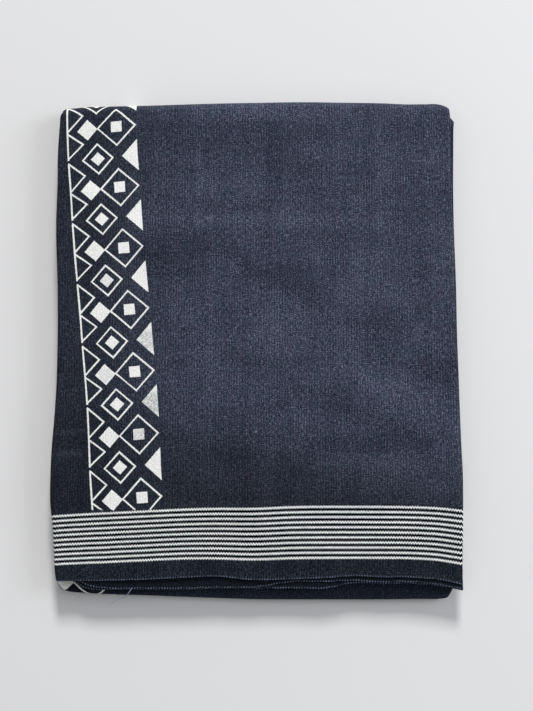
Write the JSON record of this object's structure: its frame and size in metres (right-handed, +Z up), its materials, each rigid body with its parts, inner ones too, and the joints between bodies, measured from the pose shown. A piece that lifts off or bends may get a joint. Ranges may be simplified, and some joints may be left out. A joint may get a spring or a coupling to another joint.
{
  "type": "folded lungi",
  "caption": "Handloom cotton lungi folded flat, with a woven striped border along the front and a geometric block-printed border down the left.",
  "frame": {"origin": "middle of the footprint, on the surface that the cloth lies on", "axes": "+X right along the woven stripes, +Y to the back fold, +Z up"},
  "size_m": [0.2562, 0.3162, 0.0165],
  "materials": {
    "printed_cloth": "matt handloom cotton, navy, with white woven stripes and a white block print",
    "plain_leaves": "matt handloom cotton, charcoal navy selvedge",
    "layer_edges": "matt handloom cotton, folds and cut edges"
  },
  "bodies": {
    "root": {"top_leaf": "printed_cloth", "back_fold": "printed_cloth", "bottom_leaf": "printed_cloth", "front_roll": "printed_cloth", "second_leaf": "plain_leaves", "third_leaf": "plain_leaves", "hidden_layers": "layer_edges"}
  },
  "joints": []
}
